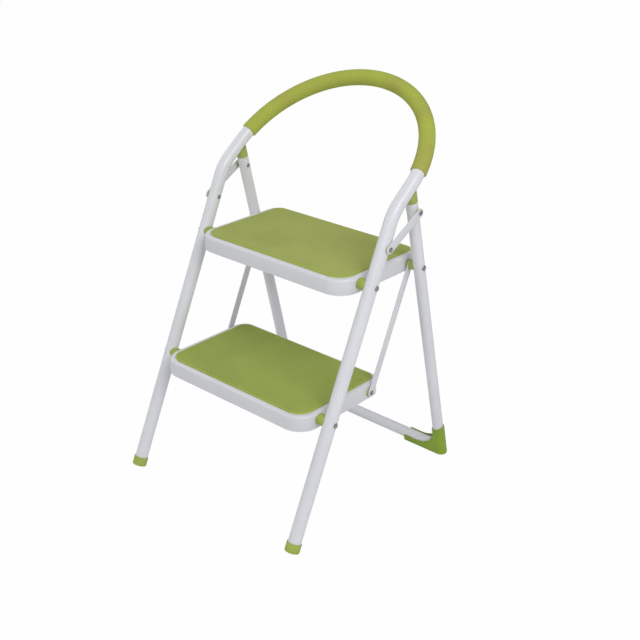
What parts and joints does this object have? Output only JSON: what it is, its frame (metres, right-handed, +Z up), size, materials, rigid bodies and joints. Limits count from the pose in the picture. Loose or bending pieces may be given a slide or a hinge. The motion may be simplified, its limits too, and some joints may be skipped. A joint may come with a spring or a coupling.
{
  "type": "folding step stool",
  "caption": "Folding household step stool of painted steel tube with two matted treads, a hoop handle with a foam grip, and plastic feet.",
  "frame": {"origin": "on the floor under the middle of the open stool's bounding box", "axes": "+X to the stool's right, +Y to its back, +Z up"},
  "size_m": [0.4614, 0.4982, 0.7574],
  "materials": {
    "painted_tube": "glossy off-white powder coat",
    "painted_sheet": "glossy off-white powder coat",
    "grip_foam": "fine-grained lime foam",
    "tread_mat": "speckled green anti-slip mat",
    "green_plastic": "satin moulded green plastic",
    "zinc_steel": "dull zinc plate"
  },
  "bodies": {
    "front_frame": {"front_hoop_tube": "painted_tube", "hoop_grip": "grip_foam", "front_foot_right": "green_plastic", "front_foot_left": "green_plastic", "upper_front_spacer_right": "green_plastic", "upper_front_spacer_left": "green_plastic", "lower_front_spacer_right": "green_plastic", "lower_front_spacer_left": "green_plastic", "upper_front_bolt_right": "zinc_steel", "upper_front_bolt_left": "zinc_steel", "lower_front_bolt_right": "zinc_steel", "lower_front_bolt_left": "zinc_steel", "upper_front_nut_right": "zinc_steel", "upper_front_nut_left": "zinc_steel", "lower_front_nut_right": "zinc_steel", "lower_front_nut_left": "zinc_steel", "brace_front_rivet_right": "zinc_steel", "brace_front_rivet_left": "zinc_steel"},
    "rear_frame": {"rear_tube": "painted_tube", "rear_boot_right": "green_plastic", "rear_boot_left": "green_plastic", "boot_screw_right": "zinc_steel", "boot_screw_left": "zinc_steel", "rear_stop_cap_right": "green_plastic", "rear_stop_cap_left": "green_plastic", "rear_spacer_right": "green_plastic", "rear_spacer_left": "green_plastic", "rear_bolt_right": "zinc_steel", "rear_bolt_left": "zinc_steel", "rear_nut_right": "zinc_steel", "rear_nut_left": "zinc_steel", "brace_rear_tail_right": "zinc_steel", "brace_rear_tail_left": "zinc_steel"},
    "upper_step": {"upper_tread_pan": "painted_sheet", "upper_tread_mat": "tread_mat", "upper_link_washer_right": "green_plastic", "upper_link_washer_left": "green_plastic"},
    "lower_step": {"lower_tread_pan": "painted_sheet", "lower_tread_mat": "tread_mat", "lower_link_washer_right": "green_plastic", "lower_link_washer_left": "green_plastic", "lower_link_rivet_right": "zinc_steel", "lower_link_rivet_left": "zinc_steel"},
    "right_connecting_link": {"connecting_link_right": "painted_sheet"},
    "left_connecting_link": {"connecting_link_left": "painted_sheet"},
    "right_brace": {"brace_right": "painted_sheet", "brace_front_washer_right": "green_plastic", "brace_rear_washer_right": "green_plastic", "brace_rear_rivet_right": "zinc_steel"},
    "left_brace": {"brace_left": "painted_sheet", "brace_front_washer_left": "green_plastic", "brace_rear_washer_left": "green_plastic", "brace_rear_rivet_left": "zinc_steel"}
  },
  "joints": [
    {"name": "upper_step_fold", "type": "hinge", "parent": "front_frame", "child": "upper_step", "pos_m": [0, -0.03228, 0.45434], "axis": [-1, 0, 0], "range_deg": [0, 102.12]},
    {"name": "lower_step_fold", "type": "hinge", "parent": "front_frame", "child": "lower_step", "pos_m": [0, -0.13641, 0.22585], "axis": [-1, 0, 0], "range_deg": [0, 102.13]},
    {"name": "rear_frame_fold", "type": "hinge", "parent": "upper_step", "child": "rear_frame", "pos_m": [0, 0.10862, 0.45004], "axis": [-1, 0, 0], "range_deg": [-63.58, 0]},
    {"name": "right_link_turn", "type": "hinge", "parent": "upper_step", "child": "right_connecting_link", "pos_m": [0.1897, 0.10862, 0.45004], "axis": [-1, 0, 0], "range_deg": [-102.13, 0]},
    {"name": "left_link_turn", "type": "hinge", "parent": "upper_step", "child": "left_connecting_link", "pos_m": [-0.1897, 0.10862, 0.45004], "axis": [-1, 0, 0], "range_deg": [-102.13, 0]},
    {"name": "right_brace_turn", "type": "hinge", "parent": "front_frame", "child": "right_brace", "pos_m": [0.22655, -0.00299, 0.51862], "axis": [-1, 0, 0], "range_deg": [0, 127.54]},
    {"name": "left_brace_turn", "type": "hinge", "parent": "front_frame", "child": "left_brace", "pos_m": [-0.22655, -0.00299, 0.51862], "axis": [-1, 0, 0], "range_deg": [0, 127.54]}
  ],
  "couplings": [
    {"joint": "lower_step_fold", "follows": "upper_step_fold", "ratio": 1},
    {"joint": "rear_frame_fold", "follows": "upper_step_fold", "ratio": -0.62252},
    {"joint": "right_link_turn", "follows": "upper_step_fold", "ratio": -1},
    {"joint": "left_link_turn", "follows": "upper_step_fold", "ratio": -1},
    {"joint": "right_brace_turn", "follows": "upper_step_fold", "ratio": 1.2489},
    {"joint": "left_brace_turn", "follows": "upper_step_fold", "ratio": 1.2489}
  ]
}
